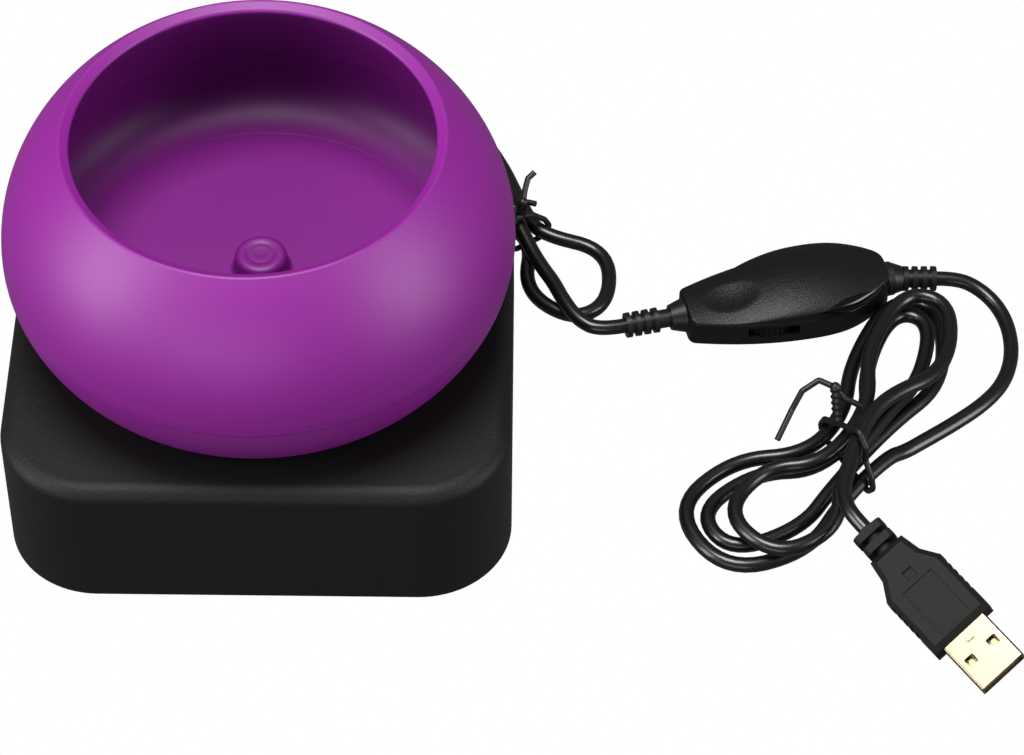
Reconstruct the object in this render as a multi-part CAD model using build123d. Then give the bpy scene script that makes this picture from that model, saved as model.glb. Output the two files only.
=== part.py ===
from build123d import *
import os
from math import asin, atan, cos, degrees, pi, radians, sin, sqrt, tan

# Bead spinner: a motor in a square base turns a bowl through a peg, and a cord with an inline
# speed control runs to a plug. Millimetres, +Z up, origin on the table under the bowl's axis.

# Main sizes that the others follow
BOWL_R = 56.17
BASE_NARROWER = 0.17
BASE_TOP = 35.4
FLOOR_OVER_BASE = 11.34
BOWL_OVER_BASE = 53.6
CORD_D = 3.5

# Fits
RUN_FIT = 0.05
PRESS_GAP = 0.02
SEAT_FIT = 0.12
CUT = 1.0

# Base housing
FOOT_PROUD = 0.8
BASE_SIDE = 2 * (BOWL_R - BASE_NARROWER)
BASE_CORNER = 20.7
BASE_DRAFT = 0.31
BASE_EDGE = 3.5
BASE_WALL = 2.2
TOP_PLATE = 2.4
HUB_HOLE_R = 4.2
BOSS_R = 3.5
BOSS_FROM_SIDE = 12.0
BOSS_FROM_FRONT = 32.0
BOSS_X = BASE_SIDE / 2 - BOSS_FROM_SIDE
BOSS_Y = BASE_SIDE / 2 - BOSS_FROM_FRONT
INNER_EDGE = 1.2

# Bottom cover, its screws and the feet
COVER_T = 2.4
COVER_LIP = 1.2
SCREW_R = 1.5
SCREW_HEAD_R = 2.8
SCREW_HEAD_T = 1.1
SCREW_LENGTH = 10.0
SCREW_RECESS = 0.5
RECESS_WIDTH = 0.8
FOOT_R = 6.0
FOOT_T = 2.0
FOOT_FROM_SIDE = 16.0
FOOT_XY = BASE_SIDE / 2 - FOOT_FROM_SIDE
FOOT_EDGE = 0.4

# Motor
CAN_R = 12.2
CAN_H = 12.4
CAN_WALL = 1.0
CAN_BOSS_R = 3.1
CAN_BOSS_H = 1.2
END_CAP_T = 1.8
END_BOSS_R = 2.8
END_BOSS_H = 1.5
MAGNET_T = 2.3
MAGNET_H = 7.4
MAGNET_ARC = 120.0
MAGNET_FLOOR = 2.0
SHAFT_R = 1.0
SHAFT_TAIL = 0.9
AIR_GAP = 0.6
CORE_R = CAN_R - CAN_WALL - MAGNET_T - AIR_GAP
CORE_H = 4.2
CORE_FLOOR = 3.6
CORE_HUB_R = 3.0
CORE_ARM_W = 2.2
POLE_T = 1.3
POLE_ARC = 96.0
POLES = 3
COIL_T = 1.3
COMMUTATOR_R = 2.5
COMMUTATOR_H = 1.6
COMMUTATOR_FLOOR = 0.5
BRUSH_T = 0.9
BRUSH_W = 1.6
BRUSH_GAP = 0.1
TERMINAL_X = 5.0
TERMINAL_W = 2.0
TERMINAL_T = 0.5
TERMINAL_DROP = 3.0
LEAD_R = 0.6
LEAD_SPREAD = 1.1
LEAD_BEND = 4.0

# Motor seat under the top plate
RING_FIT = 0.3
RING_T = 1.6
RING_H = 5.0
RETAINER_REACH = 5.8
RETAINER_X = CAN_R + RETAINER_REACH
RETAINER_T = 2.0
RETAINER_W = 16.0
RETAINER_HOLE_R = 6.4
RETAINER_END = 4.5
RETAINER_BOSS_R = 3.0
SMALL_SCREW_R = 1.0
SMALL_HEAD_R = 1.9
SMALL_HEAD_T = 1.2
SMALL_SCREW_LENGTH = 7.0

# Drive hub
HUB_NECK_R = 3.0
HUB_NECK_GAP = 0.3
HUB_FLANGE_R = 7.0
HUB_FLANGE_T = 1.5
HUB_FLANGE_GAP = 1.05
PEG_R = 4.0
PEG_FLAT = 3.25
PEG_OVER_FLOOR = 0.86
PEG_EDGE = 0.6

# Bowl
BOWL_WALL = 3.1
BOWL_GAP = 1.0
BOWL_TOP = BASE_TOP + BOWL_OVER_BASE
FLOOR_TOP = BASE_TOP + FLOOR_OVER_BASE
FLOOR_FILLET = 11.0
FLOOR_T = 2.6
LOWER_AXIS = 39.38
LOWER_POWER = 1.882
RIM_DROP = 1.63
RIM_BELOW_CROWN = 14.97
RIM_BELOW_CROWN_INSIDE = 13.74
RIM_EDGE = 0.7
SEAM_BELOW = 2.34
SEAM_ABOVE = 3.06
SEAM_GAP = 0.15
LAP_WALL = 1.57
BOWL_BOSS_WALL = 2.2
NUB_TOP_R = 3.0
NUB_H = 5.0
NUB_EDGE = 0.7
NUB_MARK_R = 1.1
NUB_MARK_DEPTH = 0.3
SOCKET_DEPTH = 0.5
RIB_T = 1.6
RIB_H = 4.0
RIB_INSET = 1.0
RIBS = 6
SEAT_GAP = 0.05

# Cord and its glands
GLAND_X = 0.0
GLAND_Z = 9.5
GLAND_NECK_R = 3.4
GLAND_FLANGE_LIP = 1.2
GLAND_FLANGE_R = GLAND_NECK_R + GLAND_FLANGE_LIP
GLAND_FLANGE_T = 1.4
BOOT_ROOT_R = 4.1
BOOT_TIP_R = 3.0
BOOT_LENGTH = 3.4
RELIEF_LENGTH = 14.2
RELIEF_RIGHT_LENGTH = 11.4
GLAND_TAIL_LENGTH = 12.0
RIB_RING_R = 3.0
RIB_RING_W = 1.2
RIB_RING_PITCH = 2.2
TAIL_WALL = 0.45
TAIL_CORE_R = CORD_D / 2 + TAIL_WALL
TAIL_RINGS = 4
GLAND_RINGS = 3
RELIEF_NECK_WALL = 0.25
RELIEF_NECK_R = CORD_D / 2 + RELIEF_NECK_WALL
RELIEF_FLANGE_LIP = 0.3
RELIEF_FLANGE_R = RELIEF_NECK_R + RELIEF_FLANGE_LIP
RELIEF_FLANGE_T = 1.2
RELIEF_NECK_GAP = 0.1

# Inline speed control, in its own frame: u along it, v across
CONTROL_X = 95.9
CONTROL_Y = 25.2
CONTROL_TURN = 14.2
CONTROL_LENGTH = 49.4
CONTROL_WIDTH = 22.0
CONTROL_BOTTOM = 0.3
CONTROL_SPLIT = 7.2
CONTROL_TOP = 12.4
CONTROL_WALL = 1.6
CONTROL_EDGE = 1.0
CONTROL_CORNER = 2.2
CROWN_AT_SHARE = 0.62
CROWN_LONG_R = 125.0
CROWN_CROSS_R = 26.0
CROWN_DEPTH = 6.0
LID_EDGE = 1.0
LID_GAP = 0.12
STEEP = 0.87
SEAM_TURN = 37.0
OUTLINE_SHARES = ((0.0, 0.51), (0.18, 0.75), (0.37, 0.92), (0.57, 1.0), (0.77, 0.93), (0.90, 0.68),
                  (1.0, 0.36))
RELIEF_Z = 4.6
RELIEF_RIGHT_TURN = -13.2
DISH_U = 11.3
DISH_V = -1.2
DISH_LONG_R = 35.0
DISH_CROSS_R = 16.0
DISH_DEPTH = 0.8
WHEEL_R = 6.5
WHEEL_T = 2.4
WHEEL_U = 19.2
WHEEL_PROUD = 0.35
WHEEL_FLOOR = 3.7
WHEEL_SLOT_CLEAR = 0.3
WHEEL_SLOT_EXTRA = 1.4
KNURL_R = 0.35
KNURLS = 32
POT_R = 4.0
POT_SHAFT_R = 1.5
POT_SHAFT_OVER = 0.5
BOARD_LENGTH = 24.0
BOARD_WIDTH = 10.0
BOARD_T = 1.0
BOARD_U = 27.0
BOARD_V = -1.5
SCREW_FROM_LEFT = 6.6
SCREW_FROM_RIGHT = 6.9
CONTROL_SCREW_U = (SCREW_FROM_LEFT, CONTROL_LENGTH - SCREW_FROM_RIGHT)
CONTROL_BOSS_R = 2.4
CONTROL_SCREW_LENGTH = 6.4
CONTROL_HEAD_T = 1.0

# Plug, in its own frame: x towards the tip, with its root at the front of the grip
PLUG_AT = (154.6, -69.3, 7.6)
PLUG_TURNS = (27.1, 7.9, -50.6)
SHELL_LENGTH = 12.5
SHELL_WIDTH = 12.0
SHELL_HEIGHT = 4.5
SHELL_WALL = 0.35
SHELL_CORNER = 0.6
SHELL_SUNK = 4.0
WINDOW_ALONG = 2.3
WINDOW_ACROSS = 2.5
WINDOW_AT = 6.1
WINDOW_SPREAD = 3.15
WINDOW_CORNER = 0.4
DIMPLE_AT = 2.1
DIMPLE_LENGTH = 2.2
DIMPLE_WIDTH = 1.2
DIMPLE_H = 0.25
TONGUE_T = 1.85
TONGUE_SHORT = 1.3
TONGUE_LENGTH = SHELL_LENGTH - TONGUE_SHORT
CONTACTS = 4
CONTACT_PITCH = 2.2
CONTACT_W = 1.0
CONTACT_T = 0.3
CONTACT_LENGTH = 8.0
GRIP_SIDE_WALL = 2.0
GRIP_FACE_WALL = 1.75
GRIP_WIDTH = SHELL_WIDTH + 2 * GRIP_SIDE_WALL
GRIP_HEIGHT = SHELL_HEIGHT + 2 * GRIP_FACE_WALL
GRIP_SHOULDER = 15.9
GRIP_TAPER = 4.2
GRIP_NECK = 5.1
GRIP_NECK_START = GRIP_SHOULDER + GRIP_TAPER
GRIP_LENGTH = GRIP_NECK_START + GRIP_NECK
GRIP_NECK_WIDTH = 11.0
GRIP_BACK_WIDTH = 9.2
GRIP_BEVEL = 1.3
PANEL_LENGTH = 13.0
PANEL_WIDTH = 8.4
PANEL_DEPTH = 0.3
PANEL_AT = 8.2
PAD_SIDE = 2.6
PAD_AT = 17.0
PAD_DEPTH = 0.5
SIDE_RIBS = 5
SIDE_RIB_PITCH = 1.9
SIDE_RIB_R = 0.55
SIDE_RIBS_AT = 9.0
STEM_OUT = 7.3
STEM_LENGTH = GRIP_LENGTH + STEM_OUT
STEM_WALL = 0.55
STEM_R = CORD_D / 2 + STEM_WALL
GRIP_RING_R = 3.9
GRIP_RING_T = 1.9
GRIP_RING_HEIGHT = 6.4
GRIP_RING_FIRST = 2.4
GRIP_RING_PITCH = 3.3
GRIP_RINGS_AT = (GRIP_LENGTH + GRIP_RING_FIRST, GRIP_LENGTH + GRIP_RING_FIRST + GRIP_RING_PITCH)

# Hanks: a lobe's direction, reach, half widths, share of them at its tip, and height
WAIST_LONG = (136.1, -16.6)
LOBES_LONG = ((212.3, 45.0, 14.8, 16.3, 0.68, 1.75), (73.7, 51.0, 9.8, 12.6, 0.55, 1.8),
              (211.9, 40.7, 8.7, 10.0, 0.73, 1.9), (72.3, 44.3, 6.5, 6.6, 0.74, 4.7),
              (223.4, 37.1, 11.7, 12.0, 0.71, 6.3), (70.3, 47.8, 8.0, 11.4, 0.62, 8.7))
LANES_LONG = (7.5, 7.2, 3.3, 1.9, 2.2, 2.2, 0.3)
HEIGHTS_LONG = (3.5, 3.8, 3.2, 3.5, 8.0, 8.1, 12.5)
FIRST_LONG = ((150.2, -10.25, 1.75), (145.6, -13.55, 1.75), (141.6, -16.4, 3.5))
LAST_LONG = ((133.5, -18.5, 12.3), (130.85, -28.87, 12.2))
WAIST_SHORT = (56.4, 52.1)
LOBES_SHORT = ((-56.5, 29.5, -8.0, -16.4, 0.44, 1.75), (117.5, 50.3, -8.1, -7.4, 0.44, 2.6))
LANES_SHORT = (2.1, -4.6, 0.3)
HEIGHTS_SHORT = (3.8, 3.8, 9.2)
FIRST_SHORT = ((43.3, 63.2, 1.75), (50.7, 58.2, 1.75))
LAST_SHORT = ((59.9, 43.75, 6.6), (63.0, 37.8, 6.1))
NEAR_LONG = 11.0
NEAR_SHORT = 2.6
SIDE_SHARE_LONG = 0.56
SIDE_SHARE_SHORT = 0.515
EDGE_SAMPLES = 5
APART = 3.5

# Straight ends of the free stretches
BASE_RUN_START = 6.1
BASE_RUN_END = 11.5
CONTROLLER_RUN_START = 3.9
CONTROLLER_RUN_END = 6.4
OUTER_RUN_START = 4.9
OUTER_RUN_END = 8.4
PLUG_RUN_START = 4.6
PLUG_RUN_END = 4.2

# Ties: each ring in its own upright plane, then a twisted stem and two loose ends
TIE_D = 1.4
TIE_BEND = 1.3
STEM_CORE_R = 0.9
STEM_RIDGE_R = 1.35
KNOT_R = 1.25
STEM_RIDGES = 6
RING_LONG = ((-11.8, 0.72), (7.0, 0.72), (8.7, 3.4), (7.6, 6.4), (4.7, 9.4), (4.3, 13.4), (1.3, 15.9),
             (-2.4, 13.3), (-6.8, 10.2), (-11.9, 6.6), (-13.1, 3.6))
RING_SHORT = ((-1.2, 0.72), (7.6, 0.72), (8.6, 3.4), (7.2, 6.2), (3.6, 10.0), (0.1, 11.7), (-3.0, 9.7),
              (-2.9, 6.0), (-2.5, 2.6))
LONG_STEM = ((129.8, -12.4, 10.2), (129.1, -6.2, 15.6))
LONG_ENDS = (((129.1, -6.2, 15.6), (125.5, -3.9, 15.4), (121.7, -6.0, 14.0), (119.5, -8.9, 11.0),
              (116.1, -14.8, 7.0)),
             ((129.4, -6.4, 15.3), (131.2, -7.6, 13.6), (135.2, -8.7, 12.0)))
SHORT_STEM = ((57.3, 50.1, 11.6), (57.9, 52.6, 13.6))
SHORT_ENDS = (((57.9, 52.6, 13.6), (58.3, 55.0, 15.4), (59.0, 57.3, 17.0), (60.6, 58.6, 17.8)),
              ((57.9, 52.6, 13.6), (59.2, 52.4, 13.9), (60.9, 51.6, 14.2)))
TIE_LONG_AT = (133.2, -18.3)
TIE_LONG_TURN = -60.0
TIE_SHORT_AT = (57.2, 50.0)
TIE_SHORT_TURN = 35.0

# How finely curves are worked out
PROFILE_STEPS = 6
OUTLINE_STEPS = 100
TINY = 1e-9
ARC_SHARE = 0.45

CABLE_R = CORD_D / 2
TIE_R = TIE_D / 2


# Helpers

def cylinder(radius, z0, z1, x=0, y=0):
    """Upright cylinder between two heights."""
    return Pos(x, y, z0) * Cylinder(radius, z1 - z0, align=(Align.CENTER, Align.CENTER, Align.MIN))


def block(length, width, z0, z1, x=0, y=0):
    """Upright block between two heights, centred on a place."""
    return Pos(x, y, z0) * Box(length, width, z1 - z0, align=(Align.CENTER, Align.CENTER, Align.MIN))


def rod(radius, start, end):
    """Cylinder from one point to another."""
    a, b = Vector(*start), Vector(*end)
    face = Plane(origin=a, z_dir=b - a) * Circle(radius)
    return extrude(face, (b - a).length)


def cone_rod(radius_a, radius_b, x0, x1):
    """Cone along X."""
    return Pos(x0, 0, 0) * (Rot(0, 90, 0) * Cone(radius_a, radius_b, x1 - x0,
                                                 align=(Align.CENTER, Align.CENTER, Align.MIN)))


def drafted_block(side, corner, z0, z1, inset):
    """Square block with rounded corners whose walls lean in by an inset over the height."""
    face = Pos(0, 0, z0) * RectangleRounded(side, side, corner)
    return extrude(face, z1 - z0, taper=degrees(atan(inset / (z1 - z0))))


def corners(x, y):
    return [(sx * x, sy * y) for sx in (1, -1) for sy in (1, -1)]


def save(name, shape):
    """Write one node, as its solids."""
    shapes = shape if isinstance(shape, list) else [shape]
    solids = [solid for piece in shapes for solid in piece.solids()]
    export_step(Compound(children=solids) if len(solids) > 1 else solids[0], f"parts/{name}.step")


# Heights that several pieces share
COVER_TOP = FOOT_PROUD + COVER_T
PLATE_UNDER = BASE_TOP - TOP_PLATE
CAN_BOTTOM = PLATE_UNDER - CAN_H
RETAINER_BOTTOM = CAN_BOTTOM - RETAINER_T
END_CAP_TOP = CAN_BOTTOM + END_CAP_T
CAN_IN_R = CAN_R - CAN_WALL
FLANGE_BOTTOM = BASE_TOP + HUB_FLANGE_GAP
FLANGE_TOP = FLANGE_BOTTOM + HUB_FLANGE_T
SHAFT_BOTTOM = CAN_BOTTOM - END_BOSS_H - SHAFT_TAIL
HUB_NECK_BOTTOM = PLATE_UNDER + CAN_BOSS_H + HUB_NECK_GAP
PEG_TOP = FLOOR_TOP + PEG_OVER_FLOOR


# Base body

def base_housing():
    outside = drafted_block(BASE_SIDE, BASE_CORNER, FOOT_PROUD, BASE_TOP, BASE_DRAFT)
    outside = fillet(outside.edges().group_by(Axis.Z)[-1], BASE_EDGE)
    cavity_side = BASE_SIDE - 2 * BASE_WALL
    cavity = drafted_block(cavity_side, BASE_CORNER - BASE_WALL, FOOT_PROUD, PLATE_UNDER, BASE_DRAFT)
    cavity = fillet(cavity.edges().group_by(Axis.Z)[-1], INNER_EDGE)
    rebate_side = BASE_SIDE - 2 * COVER_LIP
    rebate = drafted_block(rebate_side, BASE_CORNER - COVER_LIP, FOOT_PROUD - CUT, COVER_TOP, 0)
    shell = outside - cavity - rebate
    for x, y in corners(BOSS_X, BOSS_Y):
        shell += cylinder(BOSS_R, COVER_TOP, PLATE_UNDER + INNER_EDGE, x, y)
    ring_in = CAN_R + RING_FIT
    ring = cylinder(ring_in + RING_T, PLATE_UNDER - RING_H, PLATE_UNDER + INNER_EDGE)
    shell += ring - cylinder(ring_in, PLATE_UNDER - RING_H - CUT, PLATE_UNDER)
    for sx in (1, -1):
        shell += cylinder(RETAINER_BOSS_R, CAN_BOTTOM, PLATE_UNDER + INNER_EDGE, sx * RETAINER_X)
    for x, y in corners(BOSS_X, BOSS_Y):
        shell -= cylinder(SCREW_R + RUN_FIT, COVER_TOP - CUT, COVER_TOP + SCREW_LENGTH, x, y)
    for sx in (1, -1):
        top = CAN_BOTTOM + SMALL_SCREW_LENGTH
        shell -= cylinder(SMALL_SCREW_R + RUN_FIT, CAN_BOTTOM - CUT, top, sx * RETAINER_X)
    shell -= cylinder(HUB_HOLE_R, PLATE_UNDER - CUT, BASE_TOP + CUT)
    wall = BASE_SIDE / 2
    gland_start = (GLAND_X, wall - 2 * BASE_WALL, GLAND_Z)
    shell -= rod(GLAND_NECK_R + RUN_FIT, gland_start, (GLAND_X, wall + CUT, GLAND_Z))
    return shell


def bottom_cover():
    side = BASE_SIDE - 2 * COVER_LIP - 2 * SEAT_FIT
    cover = drafted_block(side, BASE_CORNER - COVER_LIP - SEAT_FIT, FOOT_PROUD, COVER_TOP, 0)
    for x, y in corners(BOSS_X, BOSS_Y):
        cover -= cylinder(SCREW_R + SEAT_FIT, FOOT_PROUD - CUT, COVER_TOP + CUT, x, y)
        cover -= cylinder(SCREW_HEAD_R + SEAT_FIT, FOOT_PROUD - CUT, FOOT_PROUD + SCREW_HEAD_T, x, y)
    for x, y in corners(FOOT_XY, FOOT_XY):
        cover -= cylinder(FOOT_R + SEAT_FIT, FOOT_PROUD - CUT, FOOT_T, x, y)
    return cover


def screw(radius, head_radius, head, length, x, y, seat):
    """Pan-head screw that points up, with its head under the seat and a cross recess."""
    body = cylinder(head_radius, seat - head, seat, x, y) + cylinder(radius, seat, seat + length, x, y)
    for turn in (0, 90):
        slot = block(head_radius, RECESS_WIDTH, seat - head - CUT, seat - head + SCREW_RECESS)
        body -= Pos(x, y, 0) * (Rot(0, 0, turn) * slot)
    return body


def base_screws():
    seat = FOOT_PROUD + SCREW_HEAD_T
    return [screw(SCREW_R, SCREW_HEAD_R, SCREW_HEAD_T, SCREW_LENGTH, x, y, seat)
            for x, y in corners(BOSS_X, BOSS_Y)]


def rubber_feet():
    foot = cylinder(FOOT_R, 0, FOOT_T)
    foot = fillet(foot.edges().group_by(Axis.Z)[0], FOOT_EDGE)
    return [Pos(x, y, 0) * foot for x, y in corners(FOOT_XY, FOOT_XY)]


def motor_can():
    can = cylinder(CAN_R, CAN_BOTTOM, PLATE_UNDER)
    can -= cylinder(CAN_IN_R, CAN_BOTTOM - CUT, PLATE_UNDER - CAN_WALL)
    can += cylinder(CAN_BOSS_R, PLATE_UNDER - CAN_WALL, PLATE_UNDER + CAN_BOSS_H)
    return can - cylinder(SHAFT_R + RUN_FIT, CAN_BOTTOM, PLATE_UNDER + CAN_BOSS_H + CUT)


def motor_magnets():
    z0 = END_CAP_TOP + MAGNET_FLOOR
    ring = cylinder(CAN_IN_R - PRESS_GAP, z0, z0 + MAGNET_H)
    ring -= cylinder(CAN_IN_R - MAGNET_T, z0 - CUT, z0 + MAGNET_H + CUT)
    reach = 2 * CAN_R
    half = radians(MAGNET_ARC / 2)
    wedge = make_face(Polyline((0, 0), (reach, reach * tan(half)), (reach, -reach * tan(half)), close=True))
    wedge = Pos(0, 0, z0 - CUT) * extrude(wedge, MAGNET_H + 2 * CUT)
    return [ring & (Rot(0, 0, turn) * wedge) for turn in (0, 180)]


def motor_end_cap():
    cap = cylinder(CAN_IN_R - PRESS_GAP, CAN_BOTTOM, END_CAP_TOP)
    cap += cylinder(END_BOSS_R, CAN_BOTTOM - END_BOSS_H, CAN_BOTTOM)
    cap -= cylinder(SHAFT_R + RUN_FIT, CAN_BOTTOM - END_BOSS_H - CUT, END_CAP_TOP + CUT)
    slot_t, slot_w = TERMINAL_T + 2 * PRESS_GAP, TERMINAL_W + 2 * PRESS_GAP
    for sx in (1, -1):
        cap -= block(slot_t, slot_w, CAN_BOTTOM - CUT, END_CAP_TOP + CUT, sx * TERMINAL_X)
    return cap


def motor_terminals():
    return [block(TERMINAL_T, TERMINAL_W, CAN_BOTTOM - TERMINAL_DROP, END_CAP_TOP, sx * TERMINAL_X)
            for sx in (1, -1)]


def motor_brushes():
    """Two strips that stand on the end cap beside the commutator."""
    top = END_CAP_TOP + COMMUTATOR_FLOOR + COMMUTATOR_H
    at = COMMUTATOR_R + BRUSH_GAP + BRUSH_T / 2
    return [block(BRUSH_T, BRUSH_W, END_CAP_TOP, top, sx * at) for sx in (1, -1)]


def motor_retainer():
    length = 2 * (RETAINER_X + RETAINER_END)
    plate = block(length, RETAINER_W, RETAINER_BOTTOM, CAN_BOTTOM)
    plate = fillet(plate.edges().filter_by(Axis.Z), RETAINER_END)
    plate -= cylinder(RETAINER_HOLE_R, RETAINER_BOTTOM - CUT, CAN_BOTTOM + CUT)
    for sx in (1, -1):
        plate -= cylinder(SMALL_SCREW_R + SEAT_FIT, RETAINER_BOTTOM - CUT, CAN_BOTTOM + CUT, sx * RETAINER_X)
    return plate


def retainer_screws():
    sizes = (SMALL_SCREW_R, SMALL_HEAD_R, SMALL_HEAD_T, SMALL_SCREW_LENGTH)
    return [screw(*sizes, sx * RETAINER_X, 0, RETAINER_BOTTOM) for sx in (1, -1)]


def gland_inner_face():
    lean = BASE_DRAFT * (GLAND_Z - FOOT_PROUD) / (BASE_TOP - FOOT_PROUD)
    return BASE_SIDE / 2 - BASE_WALL - lean - RUN_FIT


def motor_leads():
    """Two wires from the gland to the motor's terminals."""
    start = gland_inner_face() - GLAND_FLANGE_T
    under = CAN_BOTTOM - TERMINAL_DROP
    leads = []
    for sx in (1, -1):
        side = GLAND_X + sx * LEAD_SPREAD
        end = sx * TERMINAL_X
        route = [(side, start, GLAND_Z), (side, start - 2 * LEAD_BEND, GLAND_Z), (end, start / 2, GLAND_Z),
                 (end, 0, GLAND_Z), (end, 0, under)]
        path = FilletPolyline(*route, radius=LEAD_BEND)
        leads.append(sweep(Plane(origin=path @ 0, z_dir=path % 0) * Circle(LEAD_R), path))
    return leads


# Rotor body

def motor_shaft():
    return cylinder(SHAFT_R, SHAFT_BOTTOM, PEG_TOP)


def arc_band(radius, thickness, arc, z0, z1):
    """Ring sector centred on +X."""
    inner = radius - thickness
    half = arc / 2
    a, b = radians(-half), radians(half)
    outline = Curve() + [
        CenterArc((0, 0), radius, -half, arc),
        Line((radius * cos(b), radius * sin(b)), (inner * cos(b), inner * sin(b))),
        CenterArc((0, 0), inner, half, -arc),
        Line((inner * cos(a), inner * sin(a)), (radius * cos(a), radius * sin(a)))]
    return Pos(0, 0, z0) * extrude(make_face(outline), z1 - z0)


def core_heights():
    z0 = END_CAP_TOP + CORE_FLOOR
    return z0, z0 + CORE_H


def rotor_core():
    """Three-pole armature core."""
    z0, z1 = core_heights()
    core = cylinder(CORE_HUB_R, z0, z1)
    for k in range(POLES):
        arm = block(CORE_R - POLE_T, CORE_ARM_W, z0, z1, (CORE_R - POLE_T) / 2 + POLE_T / 2)
        core += Rot(0, 0, k * 360 / POLES) * (arm + arc_band(CORE_R, POLE_T, POLE_ARC, z0, z1))
    return core - cylinder(SHAFT_R + PRESS_GAP, z0 - CUT, z1 + CUT)


def rotor_windings():
    """One coil round each arm of the core."""
    z0, z1 = core_heights()
    coils = []
    start = CORE_HUB_R + SEAT_FIT
    end = CORE_R - POLE_T - SEAT_FIT
    middle = (start + end) / 2
    for k in range(POLES):
        width = CORE_ARM_W + 2 * COIL_T
        coil = block(end - start, width, z0 - COIL_T, z1 + COIL_T, middle)
        coil = fillet(coil.edges().filter_by(Axis.X), COIL_T / 2)
        coil -= block(2 * end, CORE_ARM_W + 2 * PRESS_GAP, z0 - PRESS_GAP, z1 + PRESS_GAP, middle)
        coil -= cylinder(CORE_HUB_R + SEAT_FIT, z0 - 2 * COIL_T, z1 + 2 * COIL_T)
        coil &= cylinder(end, z0 - 2 * COIL_T, z1 + 2 * COIL_T)
        coils.append(Rot(0, 0, k * 360 / POLES) * coil)
    return coils


def commutator():
    z0 = END_CAP_TOP + COMMUTATOR_FLOOR
    return cylinder(COMMUTATOR_R, z0, z0 + COMMUTATOR_H) - cylinder(SHAFT_R + PRESS_GAP, z0 - CUT,
                                                                    z0 + COMMUTATOR_H + CUT)


def double_d(radius, flat, z0, z1):
    """Round bar with two flats."""
    return cylinder(radius, z0, z1) & block(2 * flat, 2 * radius, z0, z1)


def drive_hub():
    hub = cylinder(HUB_NECK_R, HUB_NECK_BOTTOM, FLANGE_BOTTOM)
    hub += cylinder(HUB_FLANGE_R, FLANGE_BOTTOM, FLANGE_TOP)
    peg = double_d(PEG_R, PEG_FLAT, FLANGE_TOP, PEG_TOP)
    hub += chamfer(peg.edges().group_by(Axis.Z)[-1], PEG_EDGE)
    return hub - cylinder(SHAFT_R + PRESS_GAP, HUB_NECK_BOTTOM - CUT, PEG_TOP + CUT)


# Bowl body

EQUATOR = FLOOR_TOP + FLOOR_FILLET
UPPER_AXIS = BOWL_TOP - EQUATOR + RIM_BELOW_CROWN
UPPER_AXIS_INSIDE = BOWL_TOP - RIM_DROP - EQUATOR + RIM_BELOW_CROWN_INSIDE
SEAM_OUTSIDE = EQUATOR - SEAM_BELOW
SEAM_INSIDE = EQUATOR + SEAM_ABOVE
BOWL_IN_R = BOWL_R - BOWL_WALL
LAP_R = BOWL_R - LAP_WALL
BOWL_BOTTOM = BASE_TOP + BOWL_GAP
BOWL_BOSS_R = PEG_R + BOWL_BOSS_WALL
NUB_R = BOWL_BOSS_R


def lower_radius(z):
    """Outside of the bowl below its widest place: a superellipse."""
    share = (EQUATOR - z) / LOWER_AXIS
    return BOWL_R * (1 - share ** LOWER_POWER) ** (1 / LOWER_POWER)


def lower_points(z0, z1, count):
    heights = [z0 + (z1 - z0) * k / count for k in range(count + 1)]
    return [(lower_radius(z), z) for z in heights]


def ellipse_turn(z, axis):
    return degrees(asin((z - EQUATOR) / axis))


def upper_arc(radius, axis, z0, z1):
    """Arc of the bowl above its widest place, outside or inside."""
    start = ellipse_turn(z0, axis)
    return EllipticalCenterArc((0, EQUATOR), radius, axis, start_angle=start,
                               arc_size=ellipse_turn(z1, axis) - start)


def revolved(edges):
    """Solid of revolution about Z from an outline in radius and height."""
    face = Plane.XZ * make_face(Curve() + edges)
    return revolve(face, Axis.Z)


def bowl_lower():
    lap = LAP_R - RUN_FIT
    outer = Spline(*lower_points(BOWL_BOTTOM, SEAM_OUTSIDE, PROFILE_STEPS))
    inner = upper_arc(BOWL_IN_R, UPPER_AXIS_INSIDE, EQUATOR, SEAM_INSIDE)
    floor_r = BOWL_IN_R - FLOOR_FILLET
    corner = CenterArc((floor_r, EQUATOR), FLOOR_FILLET, 270, 90)
    nub_top = FLOOR_TOP + NUB_H
    under = FLOOR_TOP - FLOOR_T
    skirt = BOWL_WALL
    boss_bottom = FLANGE_TOP + SEAT_GAP
    outline = [
        outer,
        Polyline(outer @ 1, (lap, SEAM_OUTSIDE), (lap, SEAM_INSIDE), inner @ 1),
        inner,
        corner,
        Polyline(corner @ 0, (NUB_R, FLOOR_TOP), (NUB_TOP_R, nub_top), (0, nub_top), (0, boss_bottom),
                 (BOWL_BOSS_R, boss_bottom), (BOWL_BOSS_R, under), (lower_radius(under) - skirt, under),
                 (lower_radius(BOWL_BOTTOM) - skirt, BOWL_BOTTOM), outer @ 0)]
    body = revolved(outline)
    nub_edges = [e for e in body.edges().filter_by(GeomType.CIRCLE)
                 if abs(e.center().Z - nub_top) < RUN_FIT or (abs(e.center().Z - FLOOR_TOP) < RUN_FIT
                                                              and e.radius < 2 * NUB_R)]
    body = fillet(nub_edges, NUB_EDGE)
    body -= cylinder(NUB_MARK_R, nub_top - NUB_MARK_DEPTH, nub_top + CUT)
    rib_start = BOWL_BOSS_R - RUN_FIT
    rib_end = lower_radius(under) - skirt - RIB_INSET
    for k in range(RIBS):
        rib = block(rib_end - rib_start, RIB_T, under - RIB_H, under + RUN_FIT, (rib_start + rib_end) / 2)
        body += Rot(0, 0, (2 * k + 1) * 180 / RIBS) * rib
    socket_top = PEG_TOP + SOCKET_DEPTH
    return body - double_d(PEG_R + RUN_FIT, PEG_FLAT + RUN_FIT, boss_bottom - CUT, socket_top)


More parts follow.
